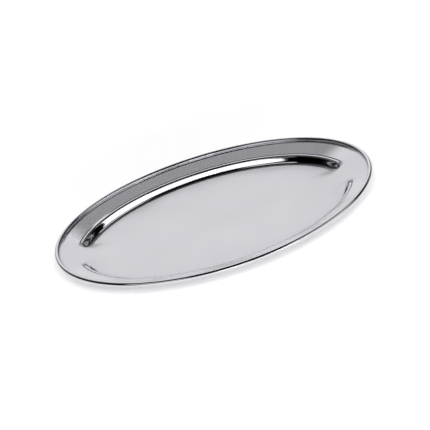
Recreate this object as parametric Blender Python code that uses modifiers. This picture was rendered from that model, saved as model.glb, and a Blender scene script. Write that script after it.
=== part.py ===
"""Oval serving tray in stainless sheet, built with Blender modelling tools.

The tray is one sheet of stainless steel, pressed to an oval with a flat floor.
Along each long side the floor ends at an upright step, and a broad rim slopes up
and outwards from the step's top. Towards the two ends of the oval the steps fade
out and the floor sweeps up to the rim's edge in one smooth ramp. All the way
round, the edge of the sheet is curled over a steel wire.

Frame: metres, +Z up, +X along the tray's long axis, origin on the surface that
the tray stands on, under the middle of the floor.
"""
import math

import bmesh
import bpy
from mathutils import Vector

MM = 0.001

# Driving dimensions
LENGTH = 500 * MM
WIDTH = 350 * MM
HEIGHT = 28.5 * MM                # at the two ends of the oval
SIDE_DIP = 2.8 * MM               # how much lower the edge runs along the sides
SHEET = 0.8 * MM                  # thickness of the pressed sheet
BEAD_DIAMETER = 6.9 * MM          # the curled edge, outside
WIRE_DIAMETER = 4.2 * MM          # the wire inside the curled edge
CREASE_DROP = 2.2 * MM            # from the bead's middle down to where the rim starts
RIM_WIDTH = 37.5 * MM             # from the outer edge in to the top of the step
STEP_HEIGHT = 11.2 * MM           # from the floor up to the rim's inner edge
STEP_DRAFT = 4.5 * MM             # how far the step's foot lies inside its top
STEP_TOP_RADIUS = 1.8 * MM
STEP_FOOT_RADIUS = 6 * MM
RAMP_SHARE = 0.8                  # the end ramps' reach, as a share of the oval's end radius
RAMP_POWER = 1.5                  # 1 is a straight ramp, 2 a parabola

# Where the step fades out: angles of the ellipse, from the long axis
STEP_END_ANGLE = math.radians(10)
STEP_FADE_ANGLE = math.radians(9)
RIM_FADE_PER_METRE = math.radians(0.6) / MM
FLOOR_FADE_PER_METRE = math.radians(0.4) / MM
TIP_NARROWEST = 0.6               # the step's plan width at its tips, as a share of the full

# How finely the shapes are divided
CURL_POINTS = 14
FILLET_POINTS = 3
RIM_POINTS = 4
RAMP_POINTS = 6
TIP_STATIONS = 10                 # stations per quarter where the step fades
SIDE_STATIONS = 11                # stations per quarter along the rest
TIP_ZONE = math.radians(24)

# Worked out from the sizes above
RAMP_START = RAMP_SHARE * WIDTH ** 2 / LENGTH / 2
BEAD_RADIUS = BEAD_DIAMETER / 2
BEAD_HEIGHT = HEIGHT - SIDE_DIP - BEAD_RADIUS
CREASE_OFFSET = BEAD_DIAMETER + 0.3 * MM
CREASE_HEIGHT = BEAD_HEIGHT - CREASE_DROP
RIM_FOOT_HEIGHT = SHEET + STEP_HEIGHT
CURL_START = math.radians(202.5)  # angle around the bead where the rim joins it
CURL_TURN = math.radians(292.5)   # the rest of the circle stays open

STAINLESS = (0.62, 0.62, 0.64, 1.0)


def clear_scene():
    for item in list(bpy.data.objects):
        bpy.data.objects.remove(item, do_unlink=True)


def steel(name, colour, roughness):
    material = bpy.data.materials.new(name)
    material.use_nodes = True
    shader = material.node_tree.nodes["Principled BSDF"]
    shader.inputs["Base Color"].default_value = colour
    shader.inputs["Metallic"].default_value = 1.0
    shader.inputs["Roughness"].default_value = roughness
    return material


def smooth(value):
    """0 below 0, 1 above 1, with a smooth rise between."""
    value = min(max(value, 0.0), 1.0)
    return value * value * (3 - 2 * value)


def outline_point(angle, offset, height):
    """A point a given distance in from the tray's outer edge."""
    x = LENGTH / 2 * math.cos(angle)
    y = WIDTH / 2 * math.sin(angle)
    out = Vector((x / LENGTH ** 2, y / WIDTH ** 2)).normalized()
    return Vector((x - out.x * offset, y - out.y * offset, height))


def station_angles():
    """Angles of the ellipse for the cross-sections, closer where the steps fade."""
    quarter = [TIP_ZONE * i / TIP_STATIONS for i in range(TIP_STATIONS)]
    rest = math.pi / 2 - TIP_ZONE
    quarter += [TIP_ZONE + rest * i / SIDE_STATIONS for i in range(SIDE_STATIONS)]
    angles = []
    for turn in (0, math.pi):
        angles += [turn + angle for angle in quarter]
        angles += [turn + math.pi / 2]
        angles += [turn + math.pi - angle for angle in reversed(quarter[1:])]
    return angles


def fillet(corner, before, after, radius):
    """Points of an arc that rounds the corner between two neighbouring points."""
    to_before = (before - corner).normalized()
    to_after = (after - corner).normalized()
    half = to_before.angle(to_after) / 2
    reach = radius / math.tan(half)
    middle = corner + (to_before + to_after).normalized() * (radius / math.sin(half))
    first = (corner + to_before * reach - middle).normalized()
    last = (corner + to_after * reach - middle).normalized()
    shares = [i / FILLET_POINTS for i in range(FILLET_POINTS + 1)]
    return [middle + first.slerp(last, share) * radius for share in shares]


def curl_profile():
    """The curled edge as offset and height, from its free edge round to the rim."""
    points = []
    for i in range(CURL_POINTS):
        angle = CURL_START - CURL_TURN * (1 - i / (CURL_POINTS - 1))
        offset = BEAD_RADIUS - BEAD_RADIUS * math.cos(angle)
        points.append(Vector((offset, BEAD_HEIGHT + BEAD_RADIUS * math.sin(angle))))
    return points


def side_profile():
    """Rim, step and floor across a long side, from the crease inwards."""
    crease = Vector((CREASE_OFFSET, CREASE_HEIGHT))
    top = Vector((RIM_WIDTH, RIM_FOOT_HEIGHT))
    foot = Vector((RIM_WIDTH + STEP_DRAFT, SHEET))
    inside = Vector((RAMP_START, SHEET))
    upper = [crease.lerp(top, i / RIM_POINTS) for i in range(RIM_POINTS)]
    upper += fillet(top, crease, foot, STEP_TOP_RADIUS)
    lower = fillet(foot, top, inside, STEP_FOOT_RADIUS)
    start = lower[-1].x
    for i in range(1, RAMP_POINTS + 1):
        lower.append(Vector((start + (RAMP_START - start) * i / RAMP_POINTS, SHEET)))
    return upper, lower


def edge_lift(angle):
    """How far the edge runs above its height at the middle of the long sides."""
    return SIDE_DIP * math.cos(angle) ** 2


def side_height(point, lift):
    """Height of a point of the side's section where the edge is lifted."""
    rise = max(RIM_WIDTH - point.x, 0) / (RIM_WIDTH - CREASE_OFFSET)
    return point.y + lift * rise


def ramp_height(offset, lift):
    """Height of the ramp at the tray's ends, a given distance in from the edge."""
    rise = max(RAMP_START - offset, 0) / (RAMP_START - CREASE_OFFSET)
    return SHEET + (CREASE_HEIGHT + lift - SHEET) * rise ** RAMP_POWER


def step_share(angle, offset, spread):
    """1 where the section is the side's, 0 where it is the end's."""
    folded = math.atan2(abs(math.sin(angle)), abs(math.cos(angle)))
    away = abs(offset - RIM_WIDTH)
    begin = STEP_END_ANGLE - spread * away / 2
    end = STEP_END_ANGLE + STEP_FADE_ANGLE + spread * away
    return smooth((folded - begin) / (end - begin))


def narrowed(angle, offset):
    """Offset of a point inside the step's top, drawn in where the step tapers off."""
    width = max(step_share(angle, RIM_WIDTH, 0), TIP_NARROWEST)
    inwards = (offset - RIM_WIDTH) / (RAMP_START - RIM_WIDTH)
    return RIM_WIDTH + (offset - RIM_WIDTH) * (width + (1 - width) * inwards)


def section(angle, curl, upper, lower):
    """All points of one cross-section, from the curl's free edge to the floor."""
    lift = edge_lift(angle)
    points = [outline_point(angle, p.x, p.y + lift) for p in curl]
    for part, spread in ((upper, RIM_FADE_PER_METRE), (lower, FLOOR_FADE_PER_METRE)):
        for p in part:
            offset = narrowed(angle, p.x) if p.x > RIM_WIDTH else p.x
            end = ramp_height(offset, lift)
            side = side_height(p, lift)
            height = end + (side - end) * step_share(angle, p.x, spread)
            points.append(outline_point(angle, offset, height))
    return points


def tray_pressing(collection):
    """The pressed sheet with its curled edge, thickened from its upper surface."""
    curl = curl_profile()
    upper, lower = side_profile()
    mesh = bmesh.new()
    rings = []
    for angle in station_angles():
        rings.append([mesh.verts.new(p) for p in section(angle, curl, upper, lower)])
    for near, far in zip(rings, rings[1:] + rings[:1]):
        for i in range(len(near) - 1):
            mesh.faces.new((near[i], far[i], far[i + 1], near[i + 1]))
    mesh.faces.new([ring[-1] for ring in rings])
    data = bpy.data.meshes.new("tray_pressing")
    mesh.to_mesh(data)
    mesh.free()
    data.shade_smooth()
    tray = bpy.data.objects.new("tray_pressing", data)
    tray.data.materials.append(steel("polished_stainless", STAINLESS, 0.12))
    collection.objects.link(tray)
    thick = tray.modifiers.new("sheet thickness", "SOLIDIFY")
    thick.thickness = SHEET
    thick.offset = -1
    thick.use_even_offset = True
    return tray


def rim_wire(collection):
    """The wire that stiffens the curled edge."""
    curve = bpy.data.curves.new("rim_wire", "CURVE")
    curve.dimensions = "3D"
    curve.bevel_depth = WIRE_DIAMETER / 2
    curve.bevel_resolution = 2
    angles = station_angles()
    spline = curve.splines.new("POLY")
    spline.points.add(len(angles) - 1)
    for point, angle in zip(spline.points, angles):
        height = BEAD_HEIGHT + edge_lift(angle)
        point.co = (*outline_point(angle, BEAD_RADIUS, height), 1)
    spline.use_cyclic_u = True
    wire = bpy.data.objects.new("rim_wire", curve)
    curve.materials.append(steel("drawn_steel_wire", (0.45, 0.45, 0.46, 1.0), 0.4))
    collection.objects.link(wire)
    return wire


def build():
    clear_scene()
    collection = bpy.data.collections.new("serving_tray")
    bpy.context.scene.collection.children.link(collection)
    tray_pressing(collection)
    rim_wire(collection)


build()
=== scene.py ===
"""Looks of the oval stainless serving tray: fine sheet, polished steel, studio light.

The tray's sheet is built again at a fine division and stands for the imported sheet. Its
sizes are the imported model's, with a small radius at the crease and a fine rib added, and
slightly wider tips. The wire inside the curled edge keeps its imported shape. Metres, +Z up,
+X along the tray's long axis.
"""
import math

import bmesh
import bpy
from mathutils import Matrix, Vector


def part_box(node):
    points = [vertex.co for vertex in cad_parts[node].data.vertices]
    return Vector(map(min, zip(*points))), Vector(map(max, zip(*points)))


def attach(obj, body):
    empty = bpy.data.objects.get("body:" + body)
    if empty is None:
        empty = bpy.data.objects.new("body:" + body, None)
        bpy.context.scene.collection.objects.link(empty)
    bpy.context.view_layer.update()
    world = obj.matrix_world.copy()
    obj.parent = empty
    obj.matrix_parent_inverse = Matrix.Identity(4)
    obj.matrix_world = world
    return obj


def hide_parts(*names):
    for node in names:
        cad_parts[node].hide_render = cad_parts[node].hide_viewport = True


MM = 0.001

# The tray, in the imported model's own sizes except where a comment says otherwise
SHEET = 0.8 * MM
BEAD_DIAMETER = 6.9 * MM
SIDE_DIP = 2.8 * MM
CREASE_OFFSET = BEAD_DIAMETER + 0.3 * MM
CREASE_DROP = 2.2 * MM
CREASE_RADIUS = 0.5 * MM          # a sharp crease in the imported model
RIM_WIDTH = 37.5 * MM
STEP_HEIGHT = 11.2 * MM
STEP_DRAFT = 4.5 * MM
STEP_TOP_RADIUS = 1.8 * MM
STEP_FOOT_RADIUS = 6 * MM
RAMP_START = 98 * MM
# The fine rib along the top of the step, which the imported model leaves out:
# distance out from the step and height, in mm
RIB = ((3.6, 0), (3.1, 0.08), (2.6, 0.26), (1.9, 0.42), (1.3, 0.42), (0.8, 0.26), (0.35, 0.08))
RAMP_POWER = 1.5
RIM_SATIN = 0.3                   # how much of the satin finish the sides' rim has
STEP_END_ANGLE = math.radians(10)
STEP_FADE_ANGLE = math.radians(9)
RIM_FADE_PER_METRE = math.radians(0.6) / MM
FLOOR_FADE_PER_METRE = math.radians(0.4) / MM
TIP_NARROWEST = 0.7               # 0.6 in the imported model; the finer fillets need this much
CURL_START = math.radians(202.5)
CURL_TURN = math.radians(292.5)

# How finely the sheet is divided
CURL_POINTS = 40
CREASE_POINTS = 4
FILLET_POINTS = 9
RIM_POINTS = 12
WALL_POINTS = 3
RAMP_POINTS = 22
TIP_STATIONS = 40
SIDE_STATIONS = 50
TIP_ZONE = math.radians(24)

# The camera: where it stands round the tray, and how the picture is turned
CAMERA_AZIMUTH = math.radians(-1.42)
CAMERA_ELEVATION = math.radians(30.6)
CAMERA_ROLL = math.radians(16.7)
CAMERA_DISTANCE = 1.863
CAMERA_RIGHT = -2.4 * MM
CAMERA_UP = 8.0 * MM
CAMERA_LENS = 102.06

# The sky behind the tray: cosine of the angle from the screen's middle, and grey
SKY = ((0.0, 0.0), (0.6, 0.04), (0.8, 0.22), (0.85, 0.3), (0.87, 0.06), (0.885, 0.1), (0.91, 1.1))
TABLE_RADIUS = 6
WALL_HEIGHT = 12
TABLE_GLOW = (0.22, 1.0)          # near the tray, and far off
WALL_GLOW = (1.0, 1.0)


def smooth(value):
    """0 below 0, 1 above 1, with a smooth rise between."""
    value = min(max(value, 0.0), 1.0)
    return value * value * (3 - 2 * value)


class Tray:
    """The tray's surface as cross-sections around the oval."""

    def __init__(self, low, high):
        self.half_length = high.x
        self.half_width = high.y
        self.radius = BEAD_DIAMETER / 2
        self.bead_height = high.z - SIDE_DIP - self.radius
        self.crease = Vector((CREASE_OFFSET, self.bead_height - CREASE_DROP))
        self.curl = self.curl_profile()
        self.side = self.side_profile()
        self.end = self.end_profile()

    def outline_point(self, angle, offset, height):
        """A point a given distance in from the tray's outer edge."""
        x = self.half_length * math.cos(angle)
        y = self.half_width * math.sin(angle)
        out = Vector((x / self.half_length ** 2, y / self.half_width ** 2)).normalized()
        return Vector((x - out.x * offset, y - out.y * offset, height))

    def curl_profile(self):
        """The curled edge as offset and height, from its free edge round to the rim."""
        points = []
        for i in range(CURL_POINTS):
            angle = CURL_START - CURL_TURN * (1 - i / (CURL_POINTS - 1))
            offset = self.radius - self.radius * math.cos(angle)
            points.append(Vector((offset, self.bead_height + self.radius * math.sin(angle))))
        return points

    def side_profile(self):
        """Rim, step and floor across a long side, from the crease inwards."""
        top = Vector((RIM_WIDTH, SHEET + STEP_HEIGHT))
        foot = Vector((RIM_WIDTH + STEP_DRAFT, SHEET))
        inside = Vector((RAMP_START, SHEET))
        points = fillet(self.crease, self.curl[-1], top, CREASE_RADIUS, CREASE_POINTS)
        self.satin = [0] * (CREASE_POINTS + 1) + [RIM_SATIN] * RIM_POINTS + [0] * len(RIB)
        self.satin += [0] * (2 * FILLET_POINTS + WALL_POINTS) + [0.3] + [1] * (RAMP_POINTS + 2)
        shoulder = fillet(top, self.crease, foot, STEP_TOP_RADIUS, FILLET_POINTS)
        toe = fillet(foot, top, inside, STEP_FOOT_RADIUS, FILLET_POINTS)
        inward = (shoulder[0] - points[-1]).normalized()
        upward = Vector((-inward.y, inward.x))
        rib = [shoulder[0] - inward * (out * MM) + upward * (rise * MM) for out, rise in RIB]
        points += between(points[-1], rib[0], RIM_POINTS) + rib + shoulder
        points += between(shoulder[-1], toe[0], WALL_POINTS) + toe
        points += between(toe[-1], inside, RAMP_POINTS) + [inside]
        return points

    def end_profile(self):
        """Ramp and floor across an end, point for point beside the side's profile."""
        below = Vector((CREASE_OFFSET + 5 * MM, self.ramp_height(CREASE_OFFSET + 5 * MM)))
        points = fillet(self.crease, self.curl[-1], below, CREASE_RADIUS, CREASE_POINTS)
        points += [Vector((p.x, self.ramp_height(p.x))) for p in self.side[len(points):]]
        return points

    def ramp_height(self, offset):
        """Height of the ramp at the tray's ends, a given distance in from the edge."""
        rise = share_between(offset, RAMP_START, CREASE_OFFSET)
        return SHEET + (self.crease.y - SHEET) * rise ** RAMP_POWER

    def section(self, angle):
        """One cross-section, from the curl's free edge to the edge of the flat floor."""
        lift = SIDE_DIP * math.cos(angle) ** 2
        points = [self.outline_point(angle, p.x, p.y + lift) for p in self.curl]
        satin = [0] * len(self.curl)
        for side, end, finish in zip(self.side, self.end, self.satin):
            share = step_share(angle, side.x)
            offset = end.x + (side.x - end.x) * share
            high = end.y
            if side.x > RIM_WIDTH:
                offset = narrowed(angle, side.x)
                high = self.ramp_height(offset)
            high += lift * share_between(offset, RAMP_START, CREASE_OFFSET) ** RAMP_POWER
            low = side.y + lift * share_between(side.x, RIM_WIDTH, CREASE_OFFSET)
            points.append(self.outline_point(angle, offset, high + (low - high) * share))
            satin.append(1 + (finish - 1) * min(1.6 * share, 1))
        return points, satin


def narrowed(angle, offset):
    """Offset of a point inside the step's top, drawn in where the step tapers off."""
    width = max(step_share(angle, RIM_WIDTH + STEP_DRAFT / 2), TIP_NARROWEST)
    inwards = (offset - RIM_WIDTH) / (RAMP_START - RIM_WIDTH)
    return RIM_WIDTH + (offset - RIM_WIDTH) * (width + (1 - width) * inwards)


def share_between(value, start, end):
    """0 at start and before it, 1 at end and beyond."""
    return min(max((value - start) / (end - start), 0), 1)


def fillet(corner, before, after, radius, count):
    """Points of an arc that rounds the corner between two neighbouring points."""
    to_before = (before - corner).normalized()
    to_after = (after - corner).normalized()
    half = to_before.angle(to_after) / 2
    reach = radius / math.tan(half)
    middle = corner + (to_before + to_after).normalized() * (radius / math.sin(half))
    first = (corner + to_before * reach - middle).normalized()
    last = (corner + to_after * reach - middle).normalized()
    return [middle + first.slerp(last, i / count) * radius for i in range(count + 1)]


def between(first, last, count):
    """Evenly spaced points strictly between two points."""
    return [first.lerp(last, i / (count + 1)) for i in range(1, count + 1)]


def step_share(angle, offset):
    """1 where the section is the side's, 0 where it is the end's."""
    folded = math.atan2(abs(math.sin(angle)), abs(math.cos(angle)))
    middle = RIM_WIDTH + STEP_DRAFT / 2
    spread = RIM_FADE_PER_METRE if offset < middle else FLOOR_FADE_PER_METRE
    away = max(abs(offset - middle) - STEP_DRAFT / 2, 0)
    begin = STEP_END_ANGLE - spread * away / 2
    end = STEP_END_ANGLE + STEP_FADE_ANGLE + spread * away
    return smooth((folded - begin) / (end - begin))


def station_angles():
    """Angles of the ellipse for the cross-sections, closer where the steps fade."""
    quarter = [TIP_ZONE * i / TIP_STATIONS for i in range(TIP_STATIONS)]
    rest = math.pi / 2 - TIP_ZONE
    quarter += [TIP_ZONE + rest * i / SIDE_STATIONS for i in range(SIDE_STATIONS)]
    angles = []
    for turn in (0, math.pi):
        angles += [turn + angle for angle in quarter]
        angles += [turn + math.pi / 2]
        angles += [turn + math.pi - angle for angle in reversed(quarter[1:])]
    return angles


def tray_sheet():
    """The pressed sheet with its curled edge, thickened from its upper surface."""
    tray = Tray(*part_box("tray_pressing"))
    mesh = bmesh.new()
    rings = []
    satin = []
    for angle in station_angles():
        points, finish = tray.section(angle)
        rings.append([mesh.verts.new(p) for p in points])
        satin += finish
    for near, far in zip(rings, rings[1:] + rings[:1]):
        for i in range(len(near) - 1):
            mesh.faces.new((near[i], far[i], far[i + 1], near[i + 1]))
    mesh.faces.new([ring[-1] for ring in rings])
    data = bpy.data.meshes.new("tray_sheet")
    mesh.to_mesh(data)
    mesh.free()
    data.shade_smooth()
    data.attributes.new("satin", "FLOAT", "POINT").data.foreach_set("value", satin)
    sheet = bpy.data.objects.new("tray_sheet", data)
    bpy.context.scene.collection.objects.link(sheet)
    thick = sheet.modifiers.new("sheet thickness", "SOLIDIFY")
    thick.thickness = SHEET
    thick.offset = -1
    thick.use_even_offset = True
    sheet.data.materials.append(polished_steel())
    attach(sheet, "root")
    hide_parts("tray_pressing")


class Nodes:
    """Short calls for building a node tree."""

    def __init__(self, tree):
        self.tree = tree

    def add(self, kind, inputs=None, **settings):
        node = self.tree.nodes.new(kind)
        for name, value in settings.items():
            setattr(node, name, value)
        for name, value in (inputs or {}).items():
            socket = node.inputs[name]
            if isinstance(value, bpy.types.NodeSocket):
                self.tree.links.new(value, socket)
            else:
                socket.default_value = value
        return node

    def ramp(self, factor, *stops):
        """A colour ramp in greys: stops are (position, grey)."""
        node = self.add("ShaderNodeValToRGB", {"Fac": factor})
        elements = node.color_ramp.elements
        while len(elements) < len(stops):
            elements.new(0.5)
        for element, (position, grey) in zip(elements, stops):
            element.position = position
            element.color = (grey, grey, grey, 1)
        return node.outputs["Color"]

    def math(self, operation, *values):
        node = self.add("ShaderNodeMath", operation=operation)
        for socket, value in zip(node.inputs, values):
            if isinstance(value, bpy.types.NodeSocket):
                self.tree.links.new(value, socket)
            else:
                socket.default_value = value
        return node.outputs[0]


def new_material(name):
    material = bpy.data.materials.new(name)
    material.use_nodes = True
    nodes = Nodes(material.node_tree)
    return material, nodes, material.node_tree.nodes["Principled BSDF"]


def polished_steel():
    """Stainless steel: satin where it lies flat, mirror-bright on step and curled edge.

    The satin floor is set far less metallic than real steel, to look right in this light.
    """
    material, nodes, shader = new_material("polished_stainless")
    link = material.node_tree.links.new
    place = nodes.add("ShaderNodeTexCoord")
    spot = place.outputs["Object"]
    flat = nodes.add("ShaderNodeAttribute", attribute_name="satin").outputs["Fac"]
    cloud = nodes.add("ShaderNodeTexNoise", {"Vector": spot, "Scale": 14.0, "Detail": 4.0})
    tint = nodes.add("ShaderNodeMix", {"Factor": cloud.outputs["Fac"]}, data_type="RGBA")
    tint.inputs["A"].default_value = (0.58, 0.58, 0.62, 1)
    tint.inputs["B"].default_value = (0.65, 0.645, 0.68, 1)
    link(tint.outputs["Result"], shader.inputs["Base Color"])
    link(nodes.math("MULTIPLY_ADD", flat, -0.8, 1.0), shader.inputs["Metallic"])
    stretched = nodes.add("ShaderNodeMapping", {"Vector": spot, "Scale": (30, 900, 900)})
    scratches = nodes.add("ShaderNodeTexNoise", {"Vector": stretched.outputs[0], "Scale": 1.0})
    worn = nodes.math("MULTIPLY_ADD", scratches.outputs["Fac"], 0.06, 0.04)
    link(nodes.math("MULTIPLY_ADD", flat, 0.3, worn), shader.inputs["Roughness"])
    waves = nodes.add("ShaderNodeTexNoise", {"Vector": spot, "Scale": 9.0, "Detail": 1.0})
    soft = nodes.math("MULTIPLY", waves.outputs["Fac"], nodes.math("ADD", flat, 0.25))
    bump = nodes.add("ShaderNodeBump", {"Height": soft})
    bump.inputs["Strength"].default_value = 1.0
    bump.inputs["Distance"].default_value = 0.007
    link(bump.outputs["Normal"], shader.inputs["Normal"])
    return material


def wire_steel():
    """Drawn wire with lengthwise streaks."""
    material, nodes, shader = new_material("drawn_wire")
    link = material.node_tree.links.new
    place = nodes.add("ShaderNodeTexCoord").outputs["Object"]
    streaks = nodes.add("ShaderNodeTexNoise", {"Vector": place, "Scale": 300.0})
    shader.inputs["Metallic"].default_value = 1.0
    shader.inputs["Base Color"].default_value = (0.45, 0.45, 0.46, 1)
    link(nodes.ramp(streaks.outputs["Fac"], (0.3, 0.3), (0.7, 0.5)), shader.inputs["Roughness"])
    return material


def white_table():
    """A round white table top inside a white wall that only the camera sees."""
    mesh = bmesh.new()
    bmesh.ops.create_circle(mesh, cap_ends=True, segments=96, radius=TABLE_RADIUS)
    staged("table", mesh, white("white_table", 0.85, TABLE_GLOW))
    mesh = bmesh.new()
    radius = TABLE_RADIUS
    bmesh.ops.create_cone(
        mesh, cap_ends=False, segments=96, radius1=radius, radius2=radius, depth=WALL_HEIGHT
    )
    wall = staged("backdrop", mesh, white("white_backdrop", 0.85, WALL_GLOW))
    wall.visible_glossy = False
    wall.visible_diffuse = False


def staged(name, mesh, material):
    data = bpy.data.meshes.new(name)
    mesh.to_mesh(data)
    mesh.free()
    data.materials.append(material)
    item = bpy.data.objects.new(name, data)
    bpy.context.scene.collection.objects.link(item)
    return item


def white(name, grey, glow):
    """Matt white that glows: a little near the tray, as much as its second glow far off."""
    material, nodes, shader = new_material(name)
    shader.inputs["Base Color"].default_value = (grey, grey, grey, 1)
    shader.inputs["Roughness"].default_value = 0.8
    shader.inputs["Specular IOR Level"].default_value = 0.1
    spot = nodes.add("ShaderNodeTexCoord").outputs["Object"]
    away = nodes.add("ShaderNodeVectorMath", {0: spot}, operation="LENGTH")
    near, far = glow
    light = nodes.ramp(away.outputs["Value"], (0.35, near), (1.0, far))
    material.node_tree.links.new(light, shader.inputs["Emission Color"])
    shader.inputs["Emission Strength"].default_value = 1.0
    return material


def direction(azimuth, elevation):
    """Away from the tray. Azimuth 0 is the camera's side, 90 the tray's right end."""
    a = math.radians(azimuth)
    e = math.radians(elevation)
    return Vector((math.sin(a) * math.cos(e), -math.cos(a) * math.cos(e), math.sin(e)))


def studio_sky():
    """A dark studio with a large white screen behind the tray and a dim border round it."""
    world = bpy.data.worlds.new("studio")
    world.use_nodes = True
    bpy.context.scene.world = world
    nodes = Nodes(world.node_tree)
    link = world.node_tree.links.new
    look = nodes.add("ShaderNodeTexCoord").outputs["Generated"]
    toward = nodes.add("ShaderNodeVectorMath", {0: look}, operation="DOT_PRODUCT")
    toward.inputs[1].default_value = direction(180, 25)
    screen = nodes.ramp(toward.outputs["Value"], *SKY)
    sky = world.node_tree.nodes["Background"]
    link(screen, sky.inputs["Color"])
    sky.inputs["Strength"].default_value = 1.0


def softbox(name, azimuth, elevation, distance, size, glow, shape="RECTANGLE", mirrored=True):
    """A flat light that faces the tray, seen in the steel only where it is mirrored."""
    away = direction(azimuth, elevation)
    data = bpy.data.lights.new(name, "AREA")
    data.shape = shape
    data.size, data.size_y = size
    data.energy = glow * math.pi * size[0] * size[1]
    light = bpy.data.objects.new(name, data)
    light.location = away * distance
    light.rotation_mode = "QUATERNION"
    light.rotation_quaternion = away.to_track_quat("Z", "Y")
    light.visible_camera = False
    light.visible_glossy = mirrored
    bpy.context.scene.collection.objects.link(light)


def lights():
    softbox("front_strip_left", -20, 12, 2.6, (2.9, 0.6), 1.6, "ELLIPSE")
    softbox("front_strip", 13.5, 12, 2.5, (1.87, 0.62), 1.6)
    softbox("front_strip_right", 47, 12, 2.6, (2.9, 0.6), 1.6, "ELLIPSE")
    softbox("right_box", 66, 42, 2.2, (1.9, 0.7), 1.1)
    softbox("left_box", -44, 42, 2.2, (1.15, 0.7), 1.1)
    softbox("key", 0, 48, 3.4, (2.8, 2.8), 5.2, mirrored=False)
    softbox("fill", 0, 90, 3.0, (5.0, 5.0), 0.3, mirrored=False)


def camera():
    """The camera, a little off the tray's middle, with the picture turned."""
    a, e, r = CAMERA_AZIMUTH, CAMERA_ELEVATION, CAMERA_ROLL
    back = Vector((math.sin(a) * math.cos(e), -math.cos(a) * math.cos(e), math.sin(e)))
    level = Vector((math.cos(a), math.sin(a), 0))
    upright = back.cross(level)
    right = level * math.cos(r) - upright * math.sin(r)
    up = level * math.sin(r) + upright * math.cos(r)
    place = back * CAMERA_DISTANCE + right * CAMERA_RIGHT + up * CAMERA_UP
    data = bpy.data.cameras.new("camera")
    data.lens = CAMERA_LENS
    data.clip_end = 50
    cam = bpy.data.objects.new("camera", data)
    cam.matrix_world = Matrix.Translation(place) @ Matrix((right, up, back)).transposed().to_4x4()
    bpy.context.scene.collection.objects.link(cam)
    bpy.context.scene.camera = cam


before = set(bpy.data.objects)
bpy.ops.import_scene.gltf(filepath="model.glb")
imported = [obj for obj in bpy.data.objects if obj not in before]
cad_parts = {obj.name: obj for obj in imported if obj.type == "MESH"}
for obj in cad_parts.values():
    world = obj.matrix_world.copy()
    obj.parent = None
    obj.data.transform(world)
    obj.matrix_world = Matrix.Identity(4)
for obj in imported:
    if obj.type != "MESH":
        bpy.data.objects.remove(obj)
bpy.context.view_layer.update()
camera()
tray_sheet()
bpy.data.objects["rim_wire"].material_slots[0].material = wire_steel()
white_table()
studio_sky()
lights()
bpy.context.scene.view_settings.view_transform = "Standard"
